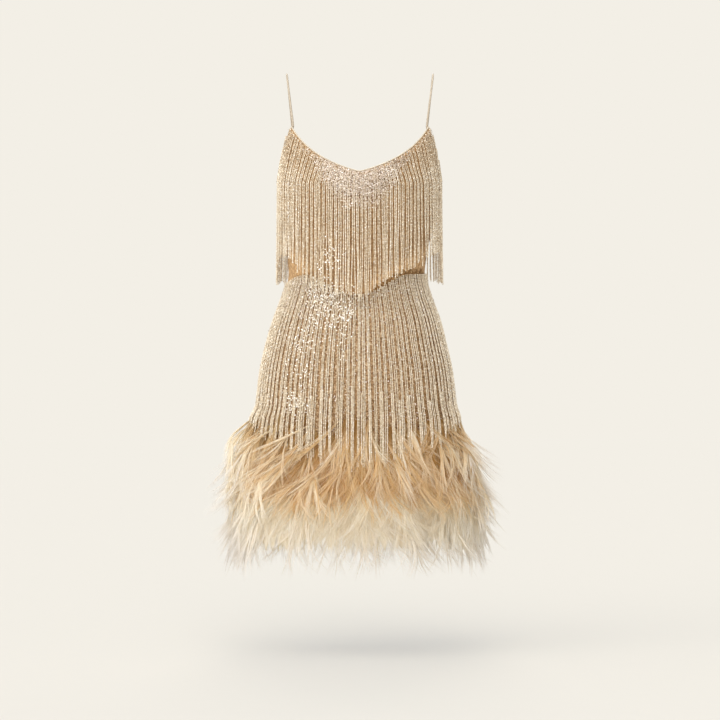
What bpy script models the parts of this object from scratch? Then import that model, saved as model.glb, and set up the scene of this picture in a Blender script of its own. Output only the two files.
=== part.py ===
"""Champagne cocktail dress with beaded fringe and a feather hem, hollow and filled out as it is worn.

Metres, +Z up, the front of the dress towards -Y and its right-hand seam, as seen from the front, towards +X.
The origin is midway between the tops of the two shoulder straps, at the height where the shoulders hold them.
An angle goes round the body in degrees: 0 is the centre front, 90 the +X side seam and 180 the centre back.
"""

import math
import random
from collections import namedtuple

import bmesh
import bpy
from mathutils import Vector

# Cloth, seams and what lies on the cloth
CLOTH = 0.0015
GAP = 0.0003
SEAM_ANGLE = 0.1
LIFT = 0.0006
FULLNESS = 0.08

# Neckline, armholes, waist seam and hem
STRAP_ANGLE = 62.0
BACK_STRAP_ANGLE = 128.0
NECK_Z = -0.176
STRAP_FOOT_Z = -0.095
UNDERARM_Z = -0.189
BACK_STRAP_Z = -0.182
BACK_NECK_Z = -0.200
WAIST_Z = -0.360
WAIST_SIDE_DIP = 0.019
WAIST_SIDE_SPAN = 50.0
WAIST_POINT_DIP = 0.036
WAIST_POINT_SPAN = 45.0
HEM_Z = -0.730

# Shoulder straps and edge bindings
STRAP_RADIUS = 0.0018
STRAP_INSET = 0.0009
STRAP_TAIL = 0.012
STRAP_TOP_X = 0.132
STRAP_POINTS = 21
BINDING_HEIGHT = 0.0026
BINDING_PROUD = 0.0008

# Beaded fringe
STRAND_WIDTH = 0.0036
STRAND_THICK = 0.0022
TAPE_HEIGHT = 0.006
TAPE_THICK = 0.0012
STRAND_BEND = 0.012
BUST_Z = -0.195
BODICE_DROP = 0.222
ARMHOLE_DROP = 0.188
SKIRT_SIDE_END_Z = -0.622
SKIRT_FRONT_END_Z = -0.698
NECK_STRANDS = 34
ARMHOLE_STRANDS = 12
BACK_NECK_STRANDS = 24
SKIRT_STRANDS = 48

# Feather tiers
UPPER_LOCKS = 17
LOWER_LOCKS = 18
LOCK_SHARE = 0.86
LOCK_THICK = 0.0045
LOCK_LIFT = 0.0008
LOCK_CLEARANCE = 0.0020
FEATHER_FAN = 2.0
FEATHER_STRAY = 0.35
FEATHER_UNEVEN = 0.012

# Cross-sections of the cloth's inner face, from the upper chest down
Section = namedtuple("Section", "z centre width front back")
SECTIONS = (
    Section(-0.060, 0.000, 0.132, 0.088, 0.086),
    Section(-0.088, 0.000, 0.136, 0.095, 0.092),
    Section(-0.130, 0.000, 0.141, 0.104, 0.099),
    Section(-0.171, -0.001, 0.143, 0.109, 0.103),
    Section(-0.195, -0.001, 0.144, 0.111, 0.104),
    Section(-0.240, -0.003, 0.140, 0.107, 0.101),
    Section(-0.290, -0.004, 0.130, 0.098, 0.093),
    Section(-0.340, -0.006, 0.123, 0.089, 0.087),
    Section(-0.365, -0.006, 0.122, 0.087, 0.087),
    Section(-0.398, -0.006, 0.131, 0.090, 0.093),
    Section(-0.441, -0.006, 0.147, 0.099, 0.107),
    Section(-0.484, -0.007, 0.159, 0.105, 0.118),
    Section(-0.527, -0.007, 0.169, 0.108, 0.125),
    Section(-0.571, -0.007, 0.175, 0.109, 0.127),
    Section(-0.603, -0.007, 0.178, 0.108, 0.126),
    Section(-0.680, -0.007, 0.180, 0.107, 0.122),
    Section(-0.780, -0.007, 0.181, 0.106, 0.119),
)

# Heights shared by the skirt's wall and the strands that lie on it
SKIRT_ROWS = (-0.425, -0.490, -0.600)
SKIRT_HEM_ROWS = (-0.680, HEM_Z)
WAIST_ROW = 0.010

# How far the locks of each feather tier stand out from the cloth, at the two sides and at the centre
# front and back, and the share of the distance between two locks that each of them fills
Flare = namedtuple("Flare", "z left right centre share")
UPPER_TIER_Z = -0.600
UPPER_TIER = (
    Flare(-0.622, 0.010, 0.006, 0.003, 0.86),
    Flare(-0.655, 0.046, 0.028, 0.006, 0.88),
    Flare(-0.715, 0.056, 0.046, 0.020, 0.74),
    Flare(-0.785, 0.062, 0.072, 0.042, 0.16),
)
LOWER_TIER_Z = -0.682
LOWER_TIER = (
    Flare(-0.715, 0.016, 0.014, 0.005, 0.88),
    Flare(-0.810, 0.052, 0.056, 0.024, 0.84),
    Flare(-0.894, 0.078, 0.086, 0.046, 0.16),
)

# Strap line over the shoulder: depth and height of its centre, front to back
StrapPoint = namedtuple("StrapPoint", "y z")
STRAP_LINE = (
    StrapPoint(-0.038, -0.055),
    StrapPoint(-0.029, -0.028),
    StrapPoint(-0.018, -0.008),
    StrapPoint(0.000, STRAP_RADIUS),
    StrapPoint(0.019, -0.008),
    StrapPoint(0.034, -0.034),
    StrapPoint(0.049, -0.085),
    StrapPoint(0.059, -0.135),
)

# Finishes: colour, roughness, metallic
Finish = namedtuple("Finish", "colour roughness metallic")
FINISHES = {
    "mesh_cloth": Finish((0.72, 0.53, 0.32, 1.0), 0.75, 0.0),
    "beaded_cloth": Finish((0.66, 0.55, 0.41, 1.0), 0.45, 0.3),
    "satin_trim": Finish((0.76, 0.61, 0.42, 1.0), 0.4, 0.0),
    "beads": Finish((0.78, 0.68, 0.52, 1.0), 0.28, 0.5),
    "feathers": Finish((0.86, 0.70, 0.48, 1.0), 0.85, 0.0),
}


def clear_scene():
    for thing in list(bpy.data.objects):
        bpy.data.objects.remove(thing)


def make_materials():
    made = {}
    for name, finish in FINISHES.items():
        material = bpy.data.materials.new(name)
        material.use_nodes = True
        shader = material.node_tree.nodes["Principled BSDF"]
        shader.inputs["Base Color"].default_value = finish.colour
        shader.inputs["Roughness"].default_value = finish.roughness
        shader.inputs["Metallic"].default_value = finish.metallic
        made[name] = material
    return made


def slope(rows, i, column):
    """Slope of one column of the table at row i, from its neighbours."""
    above = rows[max(i - 1, 0)]
    below = rows[min(i + 1, len(rows) - 1)]
    return (getattr(below, column) - getattr(above, column)) / (below.z - above.z)


def section_at(z):
    """The section at any height, on a smooth curve through the table's rows."""
    i = 0
    while i < len(SECTIONS) - 2 and SECTIONS[i + 1].z > z:
        i += 1
    above, below = SECTIONS[i], SECTIONS[i + 1]
    step = below.z - above.z
    t = min(max((z - above.z) / step, 0.0), 1.0)
    values = {}
    for column in ("centre", "width", "front", "back"):
        start = getattr(above, column)
        end = getattr(below, column)
        rise_in = slope(SECTIONS, i, column) * step
        rise_out = slope(SECTIONS, i + 1, column) * step
        values[column] = (
            start * (2 * t**3 - 3 * t**2 + 1)
            + rise_in * (t**3 - 2 * t**2 + t)
            + end * (3 * t**2 - 2 * t**3)
            + rise_out * (t**3 - t**2)
        )
    return Section(z=z, **values)


def surface(angle, z):
    """A point of the cloth's inner face."""
    section = section_at(z)
    a = math.radians(angle)
    sine, cosine = math.sin(a), math.cos(a)
    depth = section.front if cosine > 0 else section.back
    x = section.centre + section.width * sine * (1 + FULLNESS * cosine**2)
    y = -depth * cosine * (1 + FULLNESS * sine**2)
    return Vector((x, y, z))


def frame_at(angle, z):
    """(point, direction of growing angle, outward normal) on the cloth's inner face."""
    turn, rise = 0.5, 0.002
    across = (surface(angle + turn, z) - surface(angle - turn, z)).normalized()
    up = (surface(angle, z + rise) - surface(angle, z - rise)).normalized()
    return surface(angle, z), across, across.cross(up).normalized()


def skin(angle, z, out=0.0):
    """A point moved out from the cloth's inner face, square to it."""
    point, _, outward = frame_at(angle, z)
    return point + outward * out


def even_angles(z, start, stop, count):
    """count + 1 angles, evenly spaced along the ring at height z."""
    steps = 240
    fine = [start + (stop - start) * i / steps for i in range(steps + 1)]
    points = [surface(a, z) for a in fine]
    run = [0.0]
    for one, other in zip(points, points[1:]):
        run.append(run[-1] + (other - one).length)
    found = []
    i = 0
    for k in range(count + 1):
        goal = run[-1] * k / count
        while i < steps - 1 and run[i + 1] < goal:
            i += 1
        share = (goal - run[i]) / (run[i + 1] - run[i])
        found.append(fine[i] + (fine[i + 1] - fine[i]) * share)
    return found


def signed(angle):
    """The same angle from -180 to 180."""
    return (angle + 180.0) % 360.0 - 180.0


def ease(t):
    """Smooth step from 0 to 1."""
    t = min(max(t, 0.0), 1.0)
    return t * t * (3 - 2 * t)


def side_share(angle):
    """0 at the centre front and back, 1 at the side seams."""
    return math.sin(math.radians(angle)) ** 2


def top_z(angle):
    """Height of the bodice's top edge: V neck, armhole and back neckline."""
    a = abs(signed(angle))
    if a <= STRAP_ANGLE:
        share = math.sin(math.radians(a)) / math.sin(math.radians(STRAP_ANGLE))
        rounding = 0.03
        straight = math.hypot(share, rounding) - rounding
        rise = STRAP_FOOT_Z - NECK_Z
        return NECK_Z + rise * (0.52 * straight + 0.495 * share**2.8)
    if a <= 90.0:
        share = (a - STRAP_ANGLE) / (90.0 - STRAP_ANGLE)
        return STRAP_FOOT_Z + (UNDERARM_Z - STRAP_FOOT_Z) * math.sin(math.pi / 2 * share)
    if a <= BACK_STRAP_ANGLE:
        share = ease((a - 90.0) / (BACK_STRAP_ANGLE - 90.0))
        return UNDERARM_Z + (BACK_STRAP_Z - UNDERARM_Z) * share
    share = ease((a - BACK_STRAP_ANGLE) / (180.0 - BACK_STRAP_ANGLE))
    return BACK_STRAP_Z + (BACK_NECK_Z - BACK_STRAP_Z) * share


def waist_z(angle):
    """Height of the waist seam, which dips to a point at the centre front and again at the -X side."""
    from_side = abs(signed(angle + 90.0))
    at_side = WAIST_SIDE_DIP * (1 - ease(from_side / WAIST_SIDE_SPAN))
    at_point = WAIST_POINT_DIP * (1 - ease(abs(signed(angle)) / WAIST_POINT_SPAN))
    return WAIST_Z - at_side - at_point


def add_object(name, mesh_data, material):
    mesh_data.materials.append(material)
    thing = bpy.data.objects.new(name, mesh_data)
    bpy.context.scene.collection.objects.link(thing)
    return thing


def mesh_object(name, points, faces, material):
    mesh = bpy.data.meshes.new(name)
    work = bmesh.new()
    corners = [work.verts.new(p) for p in points]
    for face in faces:
        work.faces.new([corners[i] for i in face])
    bmesh.ops.recalc_face_normals(work, faces=work.faces)
    work.to_mesh(mesh)
    work.free()
    mesh.shade_smooth()
    mesh.set_sharp_from_angle(angle=math.radians(40))
    return add_object(name, mesh, material)


def wall(name, columns, rows, inner, outer, material):
    """A closed wall over a patch of the body: rows(angle) lists the heights, top to bottom."""
    points = []
    for angle in columns:
        for z in rows(angle):
            points.append(skin(angle, z, inner))
            points.append(skin(angle, z, outer))
    n = len(rows(columns[0]))
    last = len(columns) - 1

    def at(column, row, side):
        return (column * n + row) * 2 + side

    faces = []
    for c in range(last):
        for r in range(n - 1):
            for side in (0, 1):
                faces.append((at(c, r, side), at(c + 1, r, side), at(c + 1, r + 1, side), at(c, r + 1, side)))
        for r in (0, n - 1):
            faces.append((at(c, r, 0), at(c + 1, r, 0), at(c + 1, r, 1), at(c, r, 1)))
    for c in (0, last):
        for r in range(n - 1):
            faces.append((at(c, r, 0), at(c, r + 1, 0), at(c, r + 1, 1), at(c, r, 1)))
    return mesh_object(name, points, faces, material)


def fringe(name, edges, strands, material):
    """A tape with strands hanging from it, as one body.

    edges holds the tape's four corners at each column's border: top inner, top outer, bottom outer and
    bottom inner.
    strands holds the rings of each column's strand from the top down, or an empty list where none hangs.
    """
    points = [corner for edge in edges for corner in edge]
    faces = [(0, 1, 2, 3)]
    for i, rings in enumerate(strands):
        a = [4 * i + k for k in range(4)]
        b = [4 * (i + 1) + k for k in range(4)]
        faces += [(a[0], b[0], b[1], a[1]), (a[1], b[1], b[2], a[2]), (a[3], b[3], b[0], a[0])]
        loop = [a[2], b[2], b[3], a[3]]
        for ring in rings:
            lower = [len(points) + k for k in range(4)]
            points += ring
            for k in range(4):
                n = (k + 1) % 4
                faces.append((loop[k], loop[n], lower[n], lower[k]))
            loop = lower
        faces.append(tuple(loop))
    faces.append(tuple(4 * len(strands) + k for k in range(4)))
    return mesh_object(name, points, faces, material)


def bar(centre, across, outward, width=STRAND_WIDTH, thick=STRAND_THICK):
    """One ring of a strand: outer left, outer right, inner right, inner left."""
    side, depth = across * (width / 2), outward * (thick / 2)
    return [centre - side + depth, centre + side + depth, centre + side - depth, centre - side - depth]


def tape_edge(angle, top, bottom, lift):
    """The four corners of a tape that lies on the cloth."""
    inner = CLOTH + lift
    outer = inner + TAPE_THICK
    return [
        skin(angle, top, inner),
        skin(angle, top, outer),
        skin(angle, bottom, outer),
        skin(angle, bottom, inner),
    ]


def middles(borders):
    return [(one + other) / 2 for one, other in zip(borders, borders[1:])]


def hanging_end_z(angle):
    """Where a bodice strand ends: strands of one length on the neckline, shorter ones under the arm."""
    a = abs(signed(angle))
    if a <= STRAP_ANGLE:
        return top_z(angle) - BODICE_DROP
    under_arm = ease((a - STRAP_ANGLE) / (90.0 - STRAP_ANGLE))
    return top_z(angle) - BODICE_DROP + (BODICE_DROP - ARMHOLE_DROP) * under_arm


def bodice_strand(angle):
    """Lies on the bust, then hangs straight down from its fullest height."""
    root_z = top_z(angle) - BINDING_HEIGHT - TAPE_HEIGHT
    rest_z = min(BUST_Z, root_z - STRAND_BEND)
    on_cloth = CLOTH + LIFT + STRAND_THICK / 2
    heights = [root_z - STRAND_BEND / 3, rest_z]
    if root_z - rest_z > 4 * STRAND_BEND:
        heights.insert(1, (root_z + rest_z) / 2)
    rings = []
    for z in heights:
        point, across, outward = frame_at(angle, z)
        rings.append(bar(point + outward * on_cloth, across, outward))
    end = point + outward * on_cloth
    end.z = hanging_end_z(angle)
    rings.append(bar(end, across, Vector((outward.x, outward.y, 0)).normalized()))
    return rings


def bodice_fringe(name, start, stop, count, material):
    borders = even_angles(BUST_Z, start, stop, count)
    edges = []
    for angle in borders:
        top = top_z(angle) - BINDING_HEIGHT / 2
        edges.append(tape_edge(angle, top, top - TAPE_HEIGHT, LIFT))
    return fringe(name, edges, [bodice_strand(a) for a in middles(borders)], material)


def tier_out(tier, root_z, angle, z):
    """How far the middle of a feather tier stands out from the cloth's outer face."""
    root = LOCK_LIFT + TAPE_THICK / 2
    knots = [Flare(root_z - TAPE_HEIGHT, root, root, root, LOCK_SHARE)] + list(tier)
    i = 0
    while i < len(knots) - 2 and knots[i + 1].z > z:
        i += 1
    above, below = knots[i], knots[i + 1]
    t = min(max((z - above.z) / (below.z - above.z), 0.0), 1.0)
    side = "left" if signed(angle) < 0 else "right"
    at_side = getattr(above, side) + (getattr(below, side) - getattr(above, side)) * t
    at_centre = above.centre + (below.centre - above.centre) * t
    return at_centre + (at_side - at_centre) * side_share(angle)


def skirt_end_z(angle):
    return SKIRT_FRONT_END_Z + (SKIRT_SIDE_END_Z - SKIRT_FRONT_END_Z) * side_share(angle)


def skirt_strand(angle):
    """Lies on the skirt down to the feathers, then on the feathers."""
    on_cloth = CLOTH + LIFT + STRAND_THICK / 2
    over_tape = on_cloth + LOCK_LIFT + TAPE_THICK
    heights = (waist_z(angle) - WAIST_ROW,) + SKIRT_ROWS
    path = [(z, on_cloth) for z in heights[:-1]] + [(heights[-1], over_tape)]
    end_z = skirt_end_z(angle)
    for z in [knot.z for knot in UPPER_TIER if knot.z > end_z + TAPE_HEIGHT] + [end_z]:
        stand = tier_out(UPPER_TIER, UPPER_TIER_Z, angle, z)
        path.append((z, CLOTH + stand + LOCK_THICK / 2 + LOCK_CLEARANCE + STRAND_THICK / 2))
    rings = []
    for z, out in path:
        point, across, outward = frame_at(angle, z)
        rings.append(bar(point + outward * out, across, outward))
    return rings


def skirt_fringe(name, start, stop, material):
    borders = even_angles(WAIST_Z, start, stop, SKIRT_STRANDS)
    edges = []
    for angle in borders:
        bottom = waist_z(angle) - TAPE_HEIGHT / 3
        edges.append(tape_edge(angle, bottom + TAPE_HEIGHT, bottom, LIFT))
    return fringe(name, edges, [skirt_strand(a) for a in middles(borders)], material)


def feather_lock(angle, pitch, tier, root_z, chance):
    """A flat, tapering lock that leaves the cloth and fans out towards its side."""
    away = math.sin(2 * math.radians(signed(angle)))
    sweep = FEATHER_FAN * away + FEATHER_STRAY * chance.uniform(-1, 1)
    shorter = FEATHER_UNEVEN * chance.uniform(-0.5, 1.0)
    rings = []
    for k, knot in enumerate(tier):
        down = (k + 1) / len(tier)
        z = knot.z + shorter * down
        middle = angle + sweep * down
        half = knot.share * pitch / 2
        thick = LOCK_THICK * (1 - 0.7 * down)
        left = CLOTH + tier_out(tier, root_z, middle - half, z)
        right = CLOTH + tier_out(tier, root_z, middle + half, z)
        rings.append([
            skin(middle - half, z, left + thick / 2),
            skin(middle + half, z, right + thick / 2),
            skin(middle + half, z, right - thick / 2),
            skin(middle - half, z, left - thick / 2),
        ])
    return rings


def feather_tier(name, start, stop, tier, root_z, locks, seed, material):
    """Locks on a tape, with a stretch of bare tape after each."""
    chance = random.Random(seed)
    borders = even_angles(root_z, start, stop, locks)
    columns, strands = [start], []
    for left, right in zip(borders, borders[1:]):
        bare = (right - left) * (1 - LOCK_SHARE)
        columns += [right - bare, right]
        strands += [feather_lock((left + right - bare) / 2, right - left, tier, root_z, chance), []]
    edges = [tape_edge(a, root_z, root_z - TAPE_HEIGHT, LOCK_LIFT) for a in columns]
    return fringe(name, edges, strands, material)


def bodice_rows(angle):
    """Heights of the bodice's rows, closer together where the waist seam's tape lies on it."""
    top, bottom = top_z(angle), waist_z(angle) + GAP / 2
    shares = (0.0, 0.14, 0.3, 0.5, 0.74)
    lowest = bottom + WAIST_ROW
    return [top + (lowest - top) * s for s in shares] + [lowest, bottom]


def skirt_rows(angle):
    top = waist_z(angle)
    return [top - GAP / 2, top - WAIST_ROW, *SKIRT_ROWS, *SKIRT_HEM_ROWS]


def spread(start, stop, count):
    return [start + (stop - start) * i / count for i in range(count + 1)]


def columns_front():
    """Angles of the front walls' columns, with one at the point of the V and one at each strap."""
    half = spread(0.0, STRAP_ANGLE, 9) + spread(STRAP_ANGLE, 90.0 - SEAM_ANGLE, 4)[1:]
    return [-a for a in reversed(half[1:])] + half


def columns_back():
    side = spread(90.0 + SEAM_ANGLE, BACK_STRAP_ANGLE, 5)
    middle = spread(BACK_STRAP_ANGLE, 360.0 - BACK_STRAP_ANGLE, 12)[1:]
    return side + middle + [360.0 - a for a in reversed(side[:-1])]


def edge_columns(start, stop):
    """Angles from start to stop in line with the walls' own columns."""
    walls = columns_front() + columns_back()[1:-1]
    return [start] + [a for a in walls if start + 1.0 < a < stop - 1.0] + [stop]


def binding(name, columns, material):
    """A narrow bound edge that sits on the cloth's top edge."""

    def rows(angle):
        foot = top_z(angle) + GAP
        return [foot + BINDING_HEIGHT, foot]

    return wall(name, columns, rows, 0.0, CLOTH + BINDING_PROUD, material)


def smooth_line(points, count):
    """count points on a smooth curve through the given ones."""
    spans = len(points) - 1
    found = []
    for k in range(count):
        at = k / (count - 1) * spans
        i = min(int(at), spans - 1)
        t = at - i
        before = points[max(i - 1, 0)]
        start, end = points[i], points[i + 1]
        after = points[min(i + 2, spans)]
        found.append(
            (start * 2 + (end - before) * t + (before * 2 - start * 5 + end * 4 - after) * t**2
             + (start * 3 - before - end * 3 + after) * t**3) / 2
        )
    return found


def strap(name, side, material):
    """A narrow tube over one shoulder, its two tails lying against the inside of the bodice."""
    inside = -(STRAP_INSET + STRAP_RADIUS)

    def against_cloth(angle, z):
        return skin(side * angle, z, inside)

    rises = (-STRAP_TAIL, 0.0, STRAP_TAIL / 2)
    front = [against_cloth(STRAP_ANGLE, STRAP_FOOT_Z + rise) for rise in rises]
    back = [against_cloth(BACK_STRAP_ANGLE, BACK_STRAP_Z + rise) for rise in reversed(rises)]
    over_shoulder = []
    for point in STRAP_LINE:
        foot = front[-1] if point.y < 0 else back[0]
        share = (point.z - foot.z) / (STRAP_RADIUS - foot.z)
        x = foot.x + (side * STRAP_TOP_X - foot.x) * share
        over_shoulder.append(Vector((x, point.y, point.z)))
    line = front + over_shoulder + back
    curve = bpy.data.curves.new(name, "CURVE")
    curve.dimensions = "3D"
    curve.bevel_depth = STRAP_RADIUS
    curve.bevel_resolution = 1
    curve.use_fill_caps = True
    spline = curve.splines.new("POLY")
    spline.points.add(STRAP_POINTS - 1)
    for point, place in zip(spline.points, smooth_line(line, STRAP_POINTS)):
        point.co = (*place, 1.0)
    return add_object(name, curve, material)


def build():
    clear_scene()
    materials = make_materials()
    mesh_cloth, beaded = materials["mesh_cloth"], materials["beaded_cloth"]
    trim, beads, feathers = materials["satin_trim"], materials["beads"], materials["feathers"]
    front = (-90.0 + SEAM_ANGLE, 90.0 - SEAM_ANGLE)
    back = (90.0 + SEAM_ANGLE, 270.0 - SEAM_ANGLE)

    wall("bodice_front", columns_front(), bodice_rows, 0.0, CLOTH, mesh_cloth)
    wall("bodice_back", columns_back(), bodice_rows, 0.0, CLOTH, mesh_cloth)
    wall("skirt_front", columns_front(), skirt_rows, 0.0, CLOTH, beaded)
    wall("skirt_back", columns_back(), skirt_rows, 0.0, CLOTH, beaded)

    clear_of_strap = 0.4
    neck_end = STRAP_ANGLE - clear_of_strap
    arm_start, arm_end = STRAP_ANGLE + clear_of_strap, BACK_STRAP_ANGLE - clear_of_strap
    back_start = BACK_STRAP_ANGLE + clear_of_strap
    armhole = edge_columns(arm_start, arm_end)
    binding("neck_binding_front", edge_columns(-neck_end, neck_end), trim)
    binding("neck_binding_back", edge_columns(back_start, 360.0 - back_start), trim)
    binding("armhole_binding_right", armhole, trim)
    binding("armhole_binding_left", [-a for a in reversed(armhole)], trim)
    strap("strap_right", 1, trim)
    strap("strap_left", -1, trim)

    bodice_fringe("fringe_neck_front", -neck_end, neck_end, NECK_STRANDS, beads)
    bodice_fringe("fringe_neck_back", back_start, 360.0 - back_start, BACK_NECK_STRANDS, beads)
    bodice_fringe("fringe_armhole_right", arm_start, arm_end, ARMHOLE_STRANDS, beads)
    bodice_fringe("fringe_armhole_left", -arm_end, -arm_start, ARMHOLE_STRANDS, beads)
    skirt_fringe("fringe_skirt_front", *front, beads)
    skirt_fringe("fringe_skirt_back", *back, beads)

    feather_tier("feathers_upper_front", *front, UPPER_TIER, UPPER_TIER_Z, UPPER_LOCKS, 1, feathers)
    feather_tier("feathers_upper_back", *back, UPPER_TIER, UPPER_TIER_Z, UPPER_LOCKS, 2, feathers)
    feather_tier("feathers_lower_front", *front, LOWER_TIER, LOWER_TIER_Z, LOWER_LOCKS, 3, feathers)
    feather_tier("feathers_lower_back", *back, LOWER_TIER, LOWER_TIER_Z, LOWER_LOCKS, 4, feathers)


build()
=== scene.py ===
"""The looks of the cocktail dress: cloth, beaded fringe, sequins, trim and feathers over the CAD solids.

Metres, +Z up, the front towards -Y. An angle goes round the body in degrees: 0 is the centre front,
90 the +X side seam and 180 the centre back.
"""

import math
from collections import namedtuple

import bmesh
import bpy
import numpy as np
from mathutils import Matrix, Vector


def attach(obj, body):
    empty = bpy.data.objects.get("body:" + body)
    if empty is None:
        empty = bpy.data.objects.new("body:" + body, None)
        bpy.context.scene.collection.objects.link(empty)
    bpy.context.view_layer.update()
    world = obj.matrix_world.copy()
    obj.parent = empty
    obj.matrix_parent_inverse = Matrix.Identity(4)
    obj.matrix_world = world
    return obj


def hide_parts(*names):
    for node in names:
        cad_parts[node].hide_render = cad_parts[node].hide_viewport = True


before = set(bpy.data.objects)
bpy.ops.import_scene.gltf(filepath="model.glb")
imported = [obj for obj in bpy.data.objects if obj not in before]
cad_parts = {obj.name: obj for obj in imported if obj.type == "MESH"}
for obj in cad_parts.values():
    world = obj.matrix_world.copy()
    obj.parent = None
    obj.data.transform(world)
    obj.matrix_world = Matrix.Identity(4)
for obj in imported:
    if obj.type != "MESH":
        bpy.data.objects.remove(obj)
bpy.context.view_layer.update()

# View: the photograph's scale, the row of the strap tops, and a guessed distance and height
METRES_A_PIXEL = 0.00181
PICTURE_SIDE = 720
STRAP_TOP_ROW = 76
CAMERA_DISTANCE = 7.0
CAMERA_ELEVATION = 2.0
SENSOR_WIDTH = 36.0
FLOOR_Z = -1.045

# Cloth and seams
CLOTH = 0.0015
GAP = 0.0003
SEAM_ANGLE = 0.1
FULLNESS = 0.08
PANEL_COLUMNS = 73
BODICE_ROWS = 25
SKIRT_ROWS = 33
# How much of the net's painted shade under the fringe is lifted above the bust
LESS_SHADE_ABOVE_BUST = 0.4

# Neckline, armholes, waist seam and hem
STRAP_ANGLE = 62.0
BACK_STRAP_ANGLE = 128.0
NECK_Z = -0.176
STRAP_FOOT_Z = -0.095
UNDERARM_Z = -0.189
BACK_STRAP_Z = -0.182
BACK_NECK_Z = -0.200
NECK_STRAIGHT = 0.52
NECK_CURVE = 0.495
NECK_CURVE_POWER = 2.8
NECK_ROUNDING = 0.03
WAIST_Z = -0.360
WAIST_SIDE_DIP = 0.019
WAIST_SIDE_SPAN = 50.0
WAIST_POINT_DIP = 0.036
WAIST_POINT_SPAN = 45.0
HEM_Z = -0.730

# Shoulder straps and bindings
STRAP_RADIUS = 0.0018
STRAP_INSET = 0.0009
STRAP_TAIL = 0.012
STRAP_TOP_X = 0.132
BINDING_RADIUS = 0.0014
CLEAR_OF_STRAP = 0.4
STRAP_POINTS = 90
STRAP_SIDES = 10
BINDING_SIDES = 8

# Beaded fringe
BUST_Z = -0.195
BODICE_DROP = 0.222
ARMHOLE_DROP = 0.188
SHORTER_BESIDE = 0.020
LONGER_LEFT = 0.006
LONG_LEFT_WITHIN = 42.0
SKIRT_SIDE_END_Z = -0.622
SKIRT_FRONT_END_Z = -0.698
NECK_STRANDS = 46
ARMHOLE_STRANDS = 14
BACK_NECK_STRANDS = 30
SKIRT_STRANDS = 50
LIFT = 0.0008
STRAND_SPREAD = 1.2
STRAND_RADIUS = 0.0014
LEFT_FULLER = 0.12
PAIR_GAP = 0.00138
BEAD_PITCH = 0.0026
BEAD_SIDES = 4
SHOULDER_Z = -0.190
DEEPER_ON_SHOULDER = 0.2
OVER_FEATHERS = 0.004
FEATHER_FOLLOW = 0.28
SECOND_TIER_Z = -0.572
SECOND_TIER_STRANDS = 24
SECOND_TIER_LIFT = 0.0024

# Cross-sections of the cloth's inner face, from the upper chest down
Section = namedtuple("Section", "z centre width front back")
SECTIONS = [Section(*row) for row in (
    (-0.060, 0.000, 0.132, 0.088, 0.086),
    (-0.088, 0.000, 0.136, 0.095, 0.092),
    (-0.130, 0.000, 0.141, 0.104, 0.099),
    (-0.171, -0.001, 0.143, 0.109, 0.103),
    (-0.195, -0.001, 0.144, 0.111, 0.104),
    (-0.240, -0.003, 0.140, 0.107, 0.101),
    (-0.290, -0.004, 0.130, 0.098, 0.093),
    (-0.340, -0.006, 0.123, 0.089, 0.087),
    (-0.365, -0.006, 0.122, 0.087, 0.087),
    (-0.398, -0.006, 0.131, 0.090, 0.093),
    (-0.441, -0.006, 0.147, 0.099, 0.107),
    (-0.484, -0.007, 0.159, 0.105, 0.118),
    (-0.527, -0.007, 0.169, 0.108, 0.125),
    (-0.571, -0.007, 0.175, 0.109, 0.127),
    (-0.603, -0.007, 0.178, 0.108, 0.126),
    (-0.680, -0.007, 0.180, 0.107, 0.122),
    (-0.780, -0.007, 0.181, 0.106, 0.119),
)]

# How far each feather tier stands out from the cloth at the two sides and at the centre front and back
Flare = namedtuple("Flare", "z left right centre")
UPPER_TIER = (
    Flare(-0.600, 0.002, 0.002, 0.002),
    Flare(-0.622, 0.026, 0.012, 0.003),
    Flare(-0.655, 0.050, 0.030, 0.006),
    Flare(-0.715, 0.055, 0.046, 0.020),
    Flare(-0.785, 0.056, 0.070, 0.042),
)
LOWER_TIER = (
    Flare(-0.682, 0.002, 0.002, 0.002),
    Flare(-0.715, 0.016, 0.014, 0.005),
    Flare(-0.810, 0.046, 0.054, 0.024),
    Flare(-0.894, 0.066, 0.080, 0.046),
)

# Strap line over the shoulder: depth and height of its centre, front to back
STRAP_LINE = (
    (-0.038, -0.055),
    (-0.029, -0.028),
    (-0.018, -0.008),
    (0.000, STRAP_RADIUS),
    (0.019, -0.008),
    (0.034, -0.034),
    (0.049, -0.085),
    (0.059, -0.135),
)

# Sewn beads and sequins: how many places are tried, and their radius
SEED_TRIES = 40000
SEED_RADIUS = 0.0010
SEQUIN_TRIES = 14000
SEQUIN_RADIUS = 0.0013
SEQUINS_END_Z = -0.640

# How far below the neckline its seed beads reach
SEED_DEPTH = 0.074

# Gold beads edge the waist seam between these two angles
GOLD_EDGE = (14.0, 74.0)
GOLD_DEPTH = 0.012
GOLD_BEADS = 700
GOLD_RADIUS = 0.0011
GOLD_SCALLOPS = 20

# Bright paillettes, near white to paint the glints of light on the sequins: middle angle, middle height, how
# far they spread in angle and height, and how many
Patch = namedtuple("Patch", "angle z angle_spread z_spread count")
GLINT_PATCHES = [Patch(*row) for row in (
    (-18.0, -0.325, 4.5, 0.014, 60),
    (-30.0, -0.392, 7.5, 0.022, 130),
    (-15.0, -0.402, 6.0, 0.016, 60),
    (-8.0, -0.428, 5.0, 0.012, 90),
    (-9.0, -0.470, 2.5, 0.020, 26),
    (-25.0, -0.436, 6.0, 0.024, 80),
    (-38.0, -0.490, 7.0, 0.034, 100),
    (-31.0, -0.560, 3.0, 0.030, 36),
    (-35.0, -0.592, 3.4, 0.014, 90),
)]

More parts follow.
